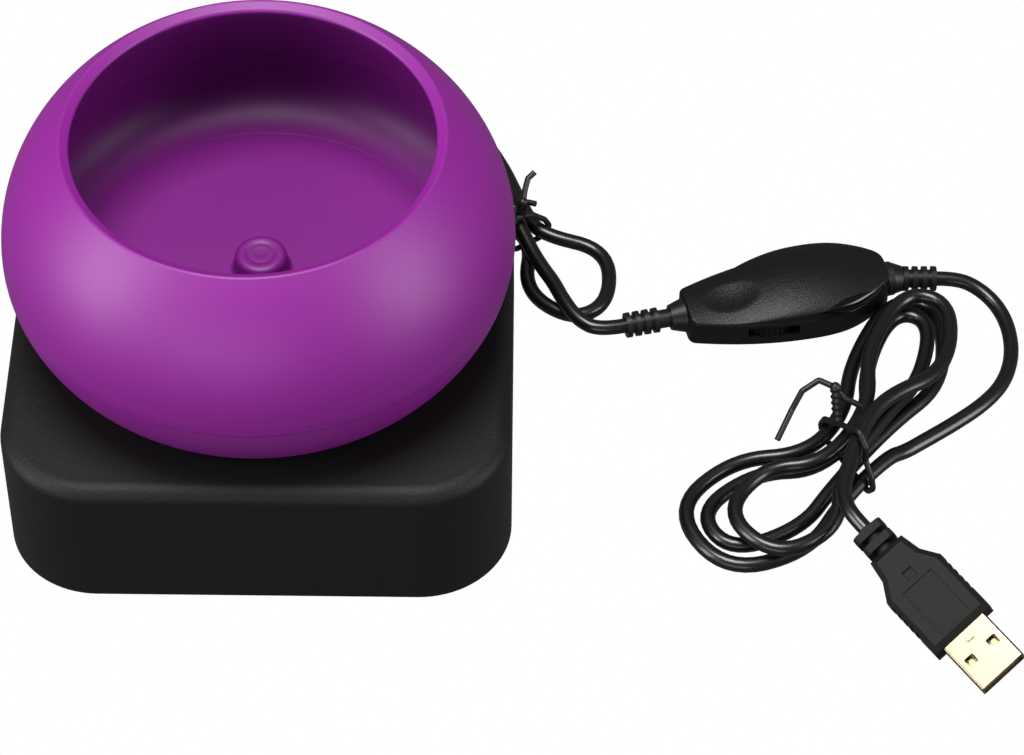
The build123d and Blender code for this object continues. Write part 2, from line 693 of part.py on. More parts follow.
def bowl_upper():
    seam = SEAM_OUTSIDE + SEAM_GAP
    ledge = SEAM_INSIDE + SEAM_GAP
    rim_in = BOWL_TOP - RIM_DROP
    skirt = Spline((lower_radius(seam), seam), (BOWL_R, EQUATOR), tangents=[
        (lower_radius(EQUATOR - RUN_FIT) - lower_radius(seam), EQUATOR - seam), (0, 1)])
    outer = upper_arc(BOWL_R, UPPER_AXIS, EQUATOR, BOWL_TOP)
    inner = upper_arc(BOWL_IN_R, UPPER_AXIS_INSIDE, ledge, rim_in)
    outline = [
        skirt,
        outer,
        Line(outer @ 1, inner @ 1),
        inner,
        Polyline(inner @ 0, (LAP_R, ledge), (LAP_R, seam), skirt @ 0)]
    body = revolved(outline)
    rim = [e for e in body.edges().filter_by(GeomType.CIRCLE) if e.center().Z > rim_in - RUN_FIT]
    return fillet(rim, RIM_EDGE)


# Cord fittings

def ribbed_tail(length, rings):
    """Strain relief along +X from its root: a cone, then a core with rings, the last at its end."""
    tail = cone_rod(BOOT_ROOT_R, BOOT_TIP_R, 0, BOOT_LENGTH)
    tail += cone_rod(TAIL_CORE_R, TAIL_CORE_R - RUN_FIT, BOOT_LENGTH, length)
    for k in range(rings):
        end = length - k * RIB_RING_PITCH
        ring = cone_rod(RIB_RING_R, RIB_RING_R - RUN_FIT, end - RIB_RING_W, end)
        tail += ring
    return tail


def cable_gland():
    """Grommet in the rear wall with a ribbed tail, along +Y from the wall."""
    out_y = BASE_SIDE / 2 + SEAT_FIT
    tail = Pos(GLAND_X, out_y, GLAND_Z) * (Rot(0, 0, 90) * ribbed_tail(GLAND_TAIL_LENGTH, GLAND_RINGS))
    inner = gland_inner_face()
    neck = rod(GLAND_NECK_R, (GLAND_X, inner - GLAND_FLANGE_T, GLAND_Z), (GLAND_X, out_y, GLAND_Z))
    flange = rod(GLAND_FLANGE_R, (GLAND_X, inner - GLAND_FLANGE_T, GLAND_Z), (GLAND_X, inner, GLAND_Z))
    return tail + neck + flange


CONTROL = Pos(CONTROL_X, CONTROL_Y, 0) * Rot(0, 0, CONTROL_TURN)


def relief_root():
    """The end inside the casing: a neck in the end wall and a flange behind it."""
    root = cone_rod(RELIEF_NECK_R, RELIEF_NECK_R - PRESS_GAP, 0, CONTROL_WALL + RELIEF_FLANGE_T)
    behind = CONTROL_WALL + RELIEF_NECK_GAP
    return root + cone_rod(RELIEF_FLANGE_R, RELIEF_FLANGE_R - PRESS_GAP, behind, behind + RELIEF_FLANGE_T)


def relief_left():
    tail = Rot(0, 0, 180) * ribbed_tail(RELIEF_LENGTH, TAIL_RINGS)
    return CONTROL * (Pos(0, 0, RELIEF_Z) * (tail + relief_root()))


def relief_right():
    collar = cone_rod(BOOT_ROOT_R, BOOT_ROOT_R - RUN_FIT, 0, CONTROL_WALL)
    tail = Rot(0, 0, RELIEF_RIGHT_TURN) * ribbed_tail(RELIEF_RIGHT_LENGTH, TAIL_RINGS)
    tail = Pos(CONTROL_WALL / 2, 0, 0) * tail
    tail &= Pos(0, 0, 0) * Box(2 * CONTROL_LENGTH, CONTROL_WIDTH, CONTROL_WIDTH,
                               align=(Align.MIN, Align.CENTER, Align.CENTER))
    root = Rot(0, 0, 180) * relief_root()
    return CONTROL * (Pos(CONTROL_LENGTH, 0, RELIEF_Z) * (collar + tail + root))


# Inline speed control

def control_outline(inset=0):
    """Plan of the casing, the same on both sides of its centre line."""
    length = CONTROL_LENGTH - 2 * inset
    half = CONTROL_WIDTH / 2
    near = [(inset + u * length, inset - v * half) for u, v in OUTLINE_SHARES]
    far = [(u, -v) for u, v in near]
    ends = [Line(near[0], far[0]), Line(near[-1], far[-1])]
    face = make_face(Curve() + [Spline(*near), Spline(*far)] + ends)
    return fillet(face.vertices(), CONTROL_CORNER - inset)


def crown(drop=0):
    """Barrel whose top is the crowned lid, lowered by a drop."""
    plane = Plane(origin=(CROWN_AT_SHARE * CONTROL_LENGTH, 0, 0), x_dir=(0, 1, 0), z_dir=(1, 0, 0))
    top = CONTROL_TOP - drop
    section = Pos(0, top - CROWN_CROSS_R) * Circle(CROWN_CROSS_R)
    section &= Pos(0, top - CROWN_DEPTH) * Rectangle(2 * CONTROL_WIDTH, 2 * CROWN_DEPTH)
    section &= Rectangle(CONTROL_WIDTH + CUT, 2 * CONTROL_TOP)
    middle = CROWN_AT_SHARE * CONTROL_LENGTH
    axis = Axis((middle, 0, CONTROL_TOP - CROWN_LONG_R), (0, 1, 0))
    return revolve(plane * section, axis, revolution_arc=360)


def lid_solid():
    z0 = CONTROL_SPLIT + LID_GAP
    prism = Pos(0, 0, z0) * extrude(control_outline(), CONTROL_TOP)
    return prism & crown()


def wheel_place():
    """Centre of the thumbwheel across the casing, from how far it stands out of the wall."""
    near = Spline(*[(u * CONTROL_LENGTH, v * CONTROL_WIDTH / 2) for u, v in OUTLINE_SHARES])
    places = [near @ (k / OUTLINE_STEPS) for k in range(OUTLINE_STEPS)]
    wall = min(places, key=lambda place: abs(place.X - WHEEL_U)).Y
    return -(wall + WHEEL_PROUD - WHEEL_R), wall


WHEEL_V, WALL_V = wheel_place()


def control_boss_holes(radius, z0, z1):
    holes = [cylinder(radius, z0, z1, u) for u in CONTROL_SCREW_U]
    return holes[0] + holes[1]


def controller_bottom():
    z0, z1 = CONTROL_BOTTOM, CONTROL_SPLIT
    tray = Pos(0, 0, z0) * extrude(control_outline(), z1 - z0)
    tray = fillet(tray.edges().group_by(Axis.Z)[0], CONTROL_EDGE)
    floor = z0 + CONTROL_WALL
    tray -= Pos(0, 0, floor) * extrude(control_outline(CONTROL_WALL), z1)
    for u in CONTROL_SCREW_U:
        tray += cylinder(CONTROL_BOSS_R, floor - RUN_FIT, z1, u)
    tray -= control_boss_holes(SMALL_SCREW_R + SEAT_FIT, z0 - CUT, z1 + CUT)
    tray -= control_boss_holes(SMALL_HEAD_R + SEAT_FIT, z0 - CUT, z0 + CONTROL_HEAD_T)
    neck = RELIEF_NECK_R + RUN_FIT
    tray -= rod(neck, (-CUT, 0, RELIEF_Z), (CONTROL_WALL + CUT, 0, RELIEF_Z))
    tray -= rod(neck, (CONTROL_LENGTH - CONTROL_WALL - CUT, 0, RELIEF_Z), (CONTROL_LENGTH + CUT, 0, RELIEF_Z))
    inside = WALL_V - CONTROL_WALL + WHEEL_V
    chord = sqrt(WHEEL_R ** 2 - inside ** 2) + WHEEL_SLOT_EXTRA
    top = WHEEL_FLOOR + WHEEL_T + WHEEL_SLOT_CLEAR
    slot = block(2 * chord, 4 * CONTROL_WALL, WHEEL_FLOOR - WHEEL_SLOT_CLEAR, top, WHEEL_U, -WALL_V)
    return CONTROL * (tray - slot)


def crown_height(u):
    """Height of the crowned top on the casing's centre line."""
    return CONTROL_TOP - (CROWN_AT_SHARE * CONTROL_LENGTH - u) ** 2 / (2 * CROWN_LONG_R)


def controller_top():
    lid = lid_solid()
    rim = lid.edges().filter_by(lambda e: e.center().Z > CONTROL_SPLIT + LID_GAP + RUN_FIT)
    rim = rim.filter_by(lambda e: not abs((e % 0.5).Z) > STEEP)
    lid = fillet(rim, LID_EDGE)
    hollow = Pos(0, 0, CONTROL_SPLIT - CUT) * extrude(control_outline(CONTROL_WALL), CONTROL_TOP)
    lid -= hollow & crown(CONTROL_WALL)
    for u in CONTROL_SCREW_U:
        boss = cylinder(CONTROL_BOSS_R, CONTROL_SPLIT + LID_GAP, crown_height(u) - CONTROL_WALL / 2)
        lid += Pos(u, 0, 0) * (Rot(0, 0, SEAM_TURN) * boss)
    floor = CONTROL_BOTTOM + CONTROL_HEAD_T + CONTROL_SCREW_LENGTH + RUN_FIT
    lid -= control_boss_holes(SMALL_SCREW_R + RUN_FIT, CONTROL_SPLIT - CUT, floor)
    slope = degrees((CROWN_AT_SHARE * CONTROL_LENGTH - DISH_U) / CROWN_LONG_R)
    dish = Rot(90, 0, 0) * Torus(DISH_LONG_R - DISH_CROSS_R, DISH_CROSS_R)
    dish = Pos(0, 0, DISH_LONG_R - DISH_DEPTH) * dish
    dish = Pos(DISH_U, DISH_V, crown_height(DISH_U)) * (Rot(0, -slope, 0) * dish)
    return CONTROL * (lid - dish)


def controller_screws():
    seat = CONTROL_BOTTOM + CONTROL_HEAD_T
    return [CONTROL * screw(SMALL_SCREW_R, SMALL_HEAD_R, CONTROL_HEAD_T, CONTROL_SCREW_LENGTH, u, 0, seat)
            for u in CONTROL_SCREW_U]


def board_heights():
    z0 = CONTROL_BOTTOM + CONTROL_WALL
    return z0, z0 + BOARD_T


def control_board():
    z0, z1 = board_heights()
    return CONTROL * block(BOARD_LENGTH, BOARD_WIDTH, z0, z1, BOARD_U, BOARD_V)


def speed_pot():
    """Control on the board, its shaft up through the thumbwheel."""
    z0 = board_heights()[1]
    body = cylinder(POT_R, z0, WHEEL_FLOOR - SEAT_FIT, WHEEL_U, WHEEL_V)
    shaft = cylinder(POT_SHAFT_R, z0, WHEEL_FLOOR + WHEEL_T + POT_SHAFT_OVER, WHEEL_U, WHEEL_V)
    return CONTROL * (body + shaft)


def speed_wheel():
    wheel = cylinder(WHEEL_R, WHEEL_FLOOR, WHEEL_FLOOR + WHEEL_T)
    for k in range(KNURLS):
        turn = 2 * pi * k / KNURLS
        wheel -= cylinder(KNURL_R, WHEEL_FLOOR - CUT, WHEEL_FLOOR + WHEEL_T + CUT,
                          WHEEL_R * cos(turn), WHEEL_R * sin(turn))
    wheel -= cylinder(POT_SHAFT_R + RUN_FIT, WHEEL_FLOOR - CUT, WHEEL_FLOOR + WHEEL_T + CUT)
    return CONTROL * (Pos(WHEEL_U, WHEEL_V, 0) * wheel)


# Plug

PLUG = Pos(*PLUG_AT) * Rot(0, 0, PLUG_TURNS[2]) * Rot(0, PLUG_TURNS[1], 0) * Rot(PLUG_TURNS[0], 0, 0)


def along_x(sketch, x0, x1):
    """Sketch in Y and Z, drawn out along X."""
    return extrude(Plane(origin=(x0, 0, 0), x_dir=(0, 1, 0), z_dir=(1, 0, 0)) * sketch, x1 - x0)


def plug_overmold():
    half, neck, back = GRIP_WIDTH / 2, GRIP_NECK_WIDTH / 2, GRIP_BACK_WIDTH / 2
    points = [(0, half), (-GRIP_SHOULDER, half), (-GRIP_NECK_START, neck), (-GRIP_LENGTH, back)]
    face = make_face(Polyline(*(points + [(x, -y) for x, y in reversed(points)]), close=True))
    grip = Pos(0, 0, -GRIP_HEIGHT / 2) * extrude(face, GRIP_HEIGHT)
    grip = chamfer(grip.edges().group_by(Axis.Z)[-1] + grip.edges().group_by(Axis.Z)[0], GRIP_BEVEL)
    top = GRIP_HEIGHT / 2
    grip -= block(PANEL_LENGTH, PANEL_WIDTH, top - PANEL_DEPTH, top + CUT, -PANEL_AT)
    grip -= block(PAD_SIDE, PAD_SIDE, top - PAD_DEPTH, top + CUT, -PAD_AT)
    for k in range(SIDE_RIBS):
        for side in (1, -1):
            x = -SIDE_RIBS_AT + (k - SIDE_RIBS / 2) * SIDE_RIB_PITCH
            grip -= cylinder(SIDE_RIB_R, -GRIP_HEIGHT, GRIP_HEIGHT, x, side * half)
    grip += along_x(Circle(STEM_R), -STEM_LENGTH, -GRIP_LENGTH + CUT)
    for at in GRIP_RINGS_AT:
        ring = RectangleRounded(2 * GRIP_RING_R, GRIP_RING_HEIGHT, GRIP_RING_HEIGHT / 4)
        grip += along_x(ring, -at - GRIP_RING_T / 2, -at + GRIP_RING_T / 2)
    socket = RectangleRounded(SHELL_WIDTH + 2 * PRESS_GAP, SHELL_HEIGHT + 2 * PRESS_GAP, SHELL_CORNER)
    return PLUG * (grip - along_x(socket, -SHELL_SUNK, CUT))


def plug_shell():
    outside = along_x(RectangleRounded(SHELL_WIDTH, SHELL_HEIGHT, SHELL_CORNER), -SHELL_SUNK, SHELL_LENGTH)
    bore = RectangleRounded(SHELL_WIDTH - 2 * SHELL_WALL, SHELL_HEIGHT - 2 * SHELL_WALL,
                            SHELL_CORNER - SHELL_WALL)
    shell = outside - along_x(bore, -SHELL_SUNK - CUT, SHELL_LENGTH + CUT)
    window = RectangleRounded(WINDOW_ALONG, WINDOW_ACROSS, WINDOW_CORNER)
    for side in (1, -1):
        shell -= Pos(WINDOW_AT, side * WINDOW_SPREAD, -SHELL_HEIGHT) * extrude(window, 2 * SHELL_HEIGHT)
    surface = SHELL_HEIGHT / 2
    dimple = extrude(Rot(0, 0, 90) * SlotOverall(DIMPLE_LENGTH, DIMPLE_WIDTH), DIMPLE_H + SHELL_WALL / 2)
    bump = Pos(DIMPLE_AT, 0, surface - SHELL_WALL / 2) * dimple
    bump = fillet(bump.edges().group_by(Axis.Z)[-1], DIMPLE_H / 2)
    return PLUG * (shell + bump)


def tongue_top():
    """Inner face of the shell's far side, plus the tongue's thickness."""
    return -SHELL_HEIGHT / 2 + SHELL_WALL + PRESS_GAP + TONGUE_T


def plug_tongue():
    width = SHELL_WIDTH - 2 * SHELL_WALL - 2 * PRESS_GAP
    tongue = block(TONGUE_LENGTH + SHELL_SUNK, width, tongue_top() - TONGUE_T, tongue_top(),
                   (TONGUE_LENGTH - SHELL_SUNK) / 2)
    return PLUG * fillet(tongue.edges().filter_by(Axis.X), SHELL_CORNER - SHELL_WALL + PRESS_GAP)


def plug_contacts():
    contacts = []
    for k in range(CONTACTS):
        y = (k - (CONTACTS - 1) / 2) * CONTACT_PITCH
        strip = block(CONTACT_LENGTH, CONTACT_W, tongue_top(), tongue_top() + CONTACT_T,
                      TONGUE_LENGTH - CONTACT_LENGTH / 2 - CONTACT_T, y)
        contacts.append(PLUG * strip)
    return contacts


# Cord: free stretches

def section_at(point, direction):
    return Plane(origin=point, z_dir=direction) * Circle(CABLE_R)


def stretch(name, route):
    """Tube of straight runs and tangent arcs along a route of hand-chosen points."""
    points = [Vector(*p) for p in route]
    radii = []
    for k in range(1, len(points) - 1):
        into, out = points[k] - points[k - 1], points[k + 1] - points[k]
        radii.append(ARC_SHARE * min(into.length, out.length) / tan(radians(into.get_angle(out)) / 2))
    path = FilletPolyline(*points, radius=radii)
    tube = sweep(section_at(path @ 0, path % 0), path)
    ideal = pi * CABLE_R ** 2 * path.length
    print(f"{name}: length {path.length:.1f}, volume over section by length {tube.volume / ideal:.4f}, "
          f"radii {[round(r, 1) for r in radii]}")
    return tube


# Cord: hanks

def hank_points(waist, lobes, lanes, heights, first, last, near, side_share):
    """Guide points of a tied hank. Each pass leaves the waist in one lane, goes round a lobe
    and comes back in the next lane. A lobe has a direction, a reach, a half width on the way
    out and on the way back, the share of it that is left at its tip, and a height."""
    points = list(first)
    for k, (turn, reach, out, back, tip_share, height) in enumerate(lobes):
        along = (cos(radians(turn)), sin(radians(turn)))
        for u, v, z in ((near, lanes[k], heights[k]), (side_share * reach, out, height),
                        (reach, tip_share * out, height), (reach, -tip_share * back, height),
                        (side_share * reach, -back, height), (near, -lanes[k + 1], heights[k + 1])):
            points.append((waist[0] + u * along[0] - v * along[1], waist[1] + u * along[1] + v * along[0], z))
    return points + list(last)


def biarc(start, start_dir, end, end_dir):
    """Middle point and direction of two tangent arcs from one place to another."""
    chord = end - start
    both = start_dir + end_dir
    spread = 2 * (1 - start_dir.dot(end_dir))
    if spread < TINY:
        reach = chord.dot(chord) / (2 * chord.dot(both))
    else:
        reach = (sqrt(chord.dot(both) ** 2 + spread * chord.dot(chord)) - chord.dot(both)) / spread
    a, b = start + start_dir * reach, end - end_dir * reach
    return (a + b) * 0.5, (b - a).normalized()


def least_gap(edges):
    """Least gap between two turns of a tube, over points that are well apart along it."""
    samples = []
    travelled = 0
    for edge in edges:
        samples += [(travelled + edge.length * k / EDGE_SAMPLES, edge @ (k / EDGE_SAMPLES))
                    for k in range(EDGE_SAMPLES)]
        travelled += edge.length
    return min((p - q).length for a, p in samples for b, q in samples if b - a > APART * CORD_D) - CORD_D


def hank(name, points):
    """One unbroken tube: arcs from the middle of one guide edge to the middle of the next."""
    guide = [Vector(*p) for p in points]
    stations = [guide[0]] + [(guide[k] + guide[k + 1]) * 0.5 for k in range(1, len(guide) - 2)] + [guide[-1]]
    headings = [guide[1] - guide[0]] + [guide[k + 1] - guide[k] for k in range(1, len(guide) - 2)]
    headings = [h.normalized() for h in headings + [guide[-1] - guide[-2]]]
    straight_in = stations[0] + headings[0] * CORD_D
    straight_out = stations[-1] - headings[-1] * CORD_D
    edges = [Line(stations[0], straight_in)]
    stations = [straight_in] + stations[1:-1] + [straight_out]
    for k in range(len(stations) - 1):
        middle, heading = biarc(stations[k], headings[k], stations[k + 1], headings[k + 1])
        edges.append(TangentArc(stations[k], middle, tangent=headings[k]))
        edges.append(TangentArc(middle, stations[k + 1], tangent=heading))
    edges.append(Line(straight_out, straight_out + headings[-1] * CORD_D))
    path = Wire(edges)
    tube = sweep(section_at(edges[0] @ 0, headings[0]), path)
    gap = least_gap(edges)
    ideal = pi * CABLE_R ** 2 * path.length
    print(f"{name}: length {path.length:.1f}, volume over section by length {tube.volume / ideal:.4f}, "
          f"tightest bend {min(e.radius for e in edges if e.geom_type == GeomType.CIRCLE):.1f}, "
          f"least gap to itself {gap:.2f}")
    return tube


HANK_LONG = hank_points(WAIST_LONG, LOBES_LONG, LANES_LONG, HEIGHTS_LONG, FIRST_LONG, LAST_LONG,
                        NEAR_LONG, SIDE_SHARE_LONG)
HANK_SHORT = hank_points(WAIST_SHORT, LOBES_SHORT, LANES_SHORT, HEIGHTS_SHORT, FIRST_SHORT,
                         LAST_SHORT, NEAR_SHORT, SIDE_SHARE_SHORT)


def ahead(before, end, distance):
    """Point straight on from an end."""
    a, b = Vector(*before), Vector(*end)
    return tuple(b + (b - a).normalized() * distance)


def on_axis(place, x):
    return tuple((place * Pos(x, 0, 0)).position)


GLAND_END = BASE_SIDE / 2 + SEAT_FIT + GLAND_TAIL_LENGTH
LEFT_AXIS = CONTROL * Pos(0, 0, RELIEF_Z)
RIGHT_AXIS = CONTROL * Pos(CONTROL_LENGTH + CONTROL_WALL / 2, 0, RELIEF_Z) * Rot(0, 0, RELIEF_RIGHT_TURN)

BASE_RUN = (
    (GLAND_X, GLAND_END, GLAND_Z), (GLAND_X, GLAND_END + BASE_RUN_START, GLAND_Z),
    (2.3, 80.1, 8.6), (7.0, 84.1, 6.8), (13.2, 85.4, 4.6), (19.4, 83.9, 2.7), (25.0, 79.4, 1.75),
    ahead(HANK_SHORT[1], HANK_SHORT[0], BASE_RUN_END), HANK_SHORT[0])
CONTROLLER_RUN = (
    HANK_SHORT[-1], ahead(HANK_SHORT[-2], HANK_SHORT[-1], CONTROLLER_RUN_START),
    (65.79, 27.02, 5.8), (69.88, 22.12, 5.2),
    on_axis(LEFT_AXIS, -RELIEF_LENGTH - CONTROLLER_RUN_END), on_axis(LEFT_AXIS, -RELIEF_LENGTH))
OUTER_RUN = (
    on_axis(RIGHT_AXIS, RELIEF_RIGHT_LENGTH), on_axis(RIGHT_AXIS, RELIEF_RIGHT_LENGTH + OUTER_RUN_START),
    (165.8, 36.2, 3.4), (170.2, 32.0, 2.1), (172.6, 25.0, 1.75), (172.7, 16.0, 1.75), (170.0, 7.5, 1.75),
    (164.6, 0.8, 1.75), ahead(HANK_LONG[1], HANK_LONG[0], OUTER_RUN_END), HANK_LONG[0])
PLUG_RUN = (
    HANK_LONG[-1], ahead(HANK_LONG[-2], HANK_LONG[-1], PLUG_RUN_START), (130.0, -37.4, 12.5),
    on_axis(PLUG, -STEM_LENGTH - PLUG_RUN_END), on_axis(PLUG, -STEM_LENGTH))


# Ties

def wire_tube(route, radius=TIE_R):
    path = FilletPolyline(*route, radius=TIE_BEND / 2)
    return sweep(Plane(origin=path @ 0, z_dir=path % 0) * Circle(radius), path)


def twisted_stem(start, end):
    """Twisted part of a tie: a ridge for each half turn, and a knot where its ends part."""
    a, b = Vector(*start), Vector(*end)
    length = (b - a).length
    pitch = length / STEM_RIDGES
    outline = [(0, 0), (STEM_CORE_R, 0)]
    for k in range(STEM_RIDGES):
        outline += [(STEM_RIDGE_R, (k + 0.5) * pitch), (STEM_CORE_R, (k + 1) * pitch)]
    outline.append((0, length))
    stem = revolve(Plane.XZ * make_face(Polyline(*outline, close=True)), Axis.Z)
    return Plane(origin=a, z_dir=b - a) * stem + Pos(*end) * Sphere(KNOT_R)


def tie(centre, turn, ring, stem, ends):
    """Twist tie: a ring round the bundle in an upright plane, a twisted stem and two loose ends."""
    across = (cos(radians(turn)), sin(radians(turn)))
    points = [Vector(centre[0] + u * across[0], centre[1] + u * across[1], z) for u, z in ring]
    loop = Wire(FilletPolyline(*points, radius=TIE_BEND, close=True).edges())
    start = loop @ 0
    body = sweep(Plane(origin=start, z_dir=loop % 0) * Circle(TIE_R), loop)
    body += twisted_stem(*stem)
    for end in ends:
        body += wire_tube(end)
    return body


def main():
    nodes = {
        "base_housing": base_housing(),
        "bottom_cover": bottom_cover(),
        "base_screws": base_screws(),
        "rubber_feet": rubber_feet(),
        "motor_can": motor_can(),
        "motor_magnets": motor_magnets(),
        "motor_end_cap": motor_end_cap(),
        "motor_brushes": motor_brushes(),
        "motor_terminals": motor_terminals(),
        "motor_retainer": motor_retainer(),
        "retainer_screws": retainer_screws(),
        "motor_leads": motor_leads(),
        "cable_gland": cable_gland(),
        "motor_shaft": motor_shaft(),
        "rotor_core": rotor_core(),
        "rotor_windings": rotor_windings(),
        "commutator": commutator(),
        "drive_hub": drive_hub(),
        "bowl_lower": bowl_lower(),
        "bowl_upper": bowl_upper(),
        "controller_top": controller_top(),
        "controller_bottom": controller_bottom(),
        "controller_screws": controller_screws(),
        "control_board": control_board(),
        "speed_pot": speed_pot(),
        "speed_wheel": speed_wheel(),
        "relief_left": relief_left(),
        "relief_right": relief_right(),
        "plug_overmold": plug_overmold(),
        "plug_shell": plug_shell(),
        "plug_tongue": plug_tongue(),
        "plug_contacts": plug_contacts(),
        "cord_base_run": stretch("cord_base_run", BASE_RUN),
        "hank_short": hank("hank_short", HANK_SHORT),
        "cord_controller_run": stretch("cord_controller_run", CONTROLLER_RUN),
        "tie_short": tie(TIE_SHORT_AT, TIE_SHORT_TURN, RING_SHORT, SHORT_STEM, SHORT_ENDS),
        "cord_outer_run": stretch("cord_outer_run", OUTER_RUN),
        "hank_long": hank("hank_long", HANK_LONG),
        "cord_plug_run": stretch("cord_plug_run", PLUG_RUN),
        "tie_long": tie(TIE_LONG_AT, TIE_LONG_TURN, RING_LONG, LONG_STEM, LONG_ENDS),
    }
    os.makedirs("parts", exist_ok=True)
    for name, shape in nodes.items():
        save(name, shape)


main()
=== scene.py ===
import math

import bpy
from mathutils import Matrix, Vector


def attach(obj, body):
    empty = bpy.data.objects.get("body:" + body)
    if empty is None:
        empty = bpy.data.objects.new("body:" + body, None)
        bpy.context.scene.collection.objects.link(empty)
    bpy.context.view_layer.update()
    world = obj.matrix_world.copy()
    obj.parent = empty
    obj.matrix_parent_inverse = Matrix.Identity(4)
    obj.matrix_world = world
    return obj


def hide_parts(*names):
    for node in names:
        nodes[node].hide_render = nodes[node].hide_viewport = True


MM = 0.001
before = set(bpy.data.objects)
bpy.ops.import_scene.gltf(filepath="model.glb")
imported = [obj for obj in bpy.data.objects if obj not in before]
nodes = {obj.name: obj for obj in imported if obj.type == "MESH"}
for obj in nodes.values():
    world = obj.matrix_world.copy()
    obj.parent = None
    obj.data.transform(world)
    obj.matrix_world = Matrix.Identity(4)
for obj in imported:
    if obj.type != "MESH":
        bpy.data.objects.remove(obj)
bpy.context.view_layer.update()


# Camera, solved from the base's square outline, the bowl's rim and the plug's shell

LENS_PIXELS = 3587.05
PIXELS_WIDE, PIXELS_HIGH = 1024, 755
SENSOR = 36.0
NEAREST_SEEN = 0.01
CAMERA_AT = (0.055708, -0.537846, 0.632116)
RIGHT = Vector((0.99994152, 0.00817797, 0.00707677))
UP = Vector((-0.0108148, 0.75610311, 0.65436314))
BACK = Vector((0.0, -0.654401, 0.756147))


def make_camera():
    data = bpy.data.cameras.new("camera")
    data.sensor_width = SENSOR
    data.lens = LENS_PIXELS / PIXELS_WIDE * SENSOR
    data.clip_start = NEAREST_SEEN
    camera = bpy.data.objects.new("camera", data)
    bpy.context.collection.objects.link(camera)
    turn = Matrix((RIGHT, UP, BACK)).transposed().to_4x4()
    camera.matrix_world = Matrix.Translation(CAMERA_AT) @ turn
    scene = bpy.context.scene
    scene.camera = camera
    scene.render.resolution_x = PIXELS_WIDE
    scene.render.resolution_y = PIXELS_HIGH


make_camera()


# Cords, by the middle of each cord in millimetres

CORD_D = 3.5
LYING = CORD_D / 2
CORD_ORDER = 3
CORD_ROUNDNESS = 8
CORD_SMOOTHNESS = 8
LENGTH_STEPS = 16


def hank_points(waist, lobes, lanes, heights, first, last, near, side_share):
    """Guide points of a tied hank: each pass leaves the waist, goes round a lobe and comes back.

    A lobe is its turn in degrees, its reach, its half width on the way out and on the way back,
    the share of that width kept at its tip, and its height. A pass is in its lane at near from
    the waist, and a lobe is widest at side_share of its reach.
    """
    points = list(first)
    for k, (turn, reach, out, back, tip_share, height) in enumerate(lobes):
        along = (math.cos(math.radians(turn)), math.sin(math.radians(turn)))
        side = side_share * reach
        lobe = ((near, lanes[k], heights[k]),
                (side, out, height),
                (reach, tip_share * out, height),
                (reach, -tip_share * back, height),
                (side, -back, height),
                (near, -lanes[k + 1], heights[k + 1]))
        for u, v, z in lobe:
            x = waist[0] + u * along[0] - v * along[1]
            y = waist[1] + u * along[1] + v * along[0]
            points.append((x, y, z))
    return points + list(last)


BASE_RUN = [
    (0, 68.12, 9.5), (0, 74.22, 9.5), (2.3, 80.1, 8.6), (7.0, 84.1, 6.8), (13.2, 85.4, 4.6),
    (19.4, 83.9, 2.7), (25.0, 79.4, LYING), (33.771, 69.638, LYING)]
HANK_SHORT = hank_points(
    waist=(56.4, 52.1),
    lobes=((-56.5, 29.5, -8.0, -16.4, 0.44, LYING),
           (117.5, 50.3, -8.1, -7.4, 0.7, 2.6)),
    lanes=(2.1, -4.6, 0.3),
    heights=(3.8, 3.8, 9.2),
    first=((43.3, 63.2, LYING), (50.7, 58.2, LYING)),
    last=((59.9, 43.75, 6.6), (63.0, 37.8, 6.1)),
    near=4.0,
    side_share=0.515)
CONTROLLER_RUN = [
    (65.2, 34.2, 5.9), (67.6, 28.4, 5.8), (71.0, 22.9, 5.2), (75.929, 20.147, 4.6),
    (82.134, 21.717, 4.6)]
OUTER_RUN = [
    (155.964, 37.713, 4.6), (160.864, 37.799, 4.6), (165.8, 36.2, 3.4), (170.2, 32.0, 2.1),
    (172.6, 25.0, LYING), (172.7, 16.0, LYING), (170.0, 7.5, LYING), (164.6, 0.8, LYING),
    (157.025, -5.354, LYING)]
HANK_LONG = hank_points(
    waist=(136.1, -16.6),
    lobes=((212.3, 45.0, 14.8, 16.3, 0.68, LYING),
           (73.7, 51.0, 9.8, 12.6, 0.55, 1.8),
           (211.9, 40.7, 8.7, 10.0, 0.73, 1.9),
           (72.3, 44.3, 6.5, 6.6, 0.74, 4.7),
           (223.4, 37.1, 11.7, 12.0, 0.71, 6.3),
           (70.3, 47.8, 8.0, 11.4, 0.62, 8.7)),
    lanes=(7.5, 7.2, 3.3, 1.9, 2.2, 2.2, 0.3),
    heights=(3.5, 3.8, 3.2, 3.5, 8.0, 8.1, 12.5),
    first=((150.2, -10.25, LYING), (145.6, -13.55, LYING), (141.6, -16.4, 3.5)),
    last=((133.5, -18.5, 12.3), (130.85, -28.87, 12.2)),
    near=11.0,
    side_share=0.56)
PLUG_RUN = [
    (129.711, -33.327, 12.157), (130.0, -37.4, 12.5), (131.526, -41.21, 12.644),
    (134.167, -44.425, 12.067)]


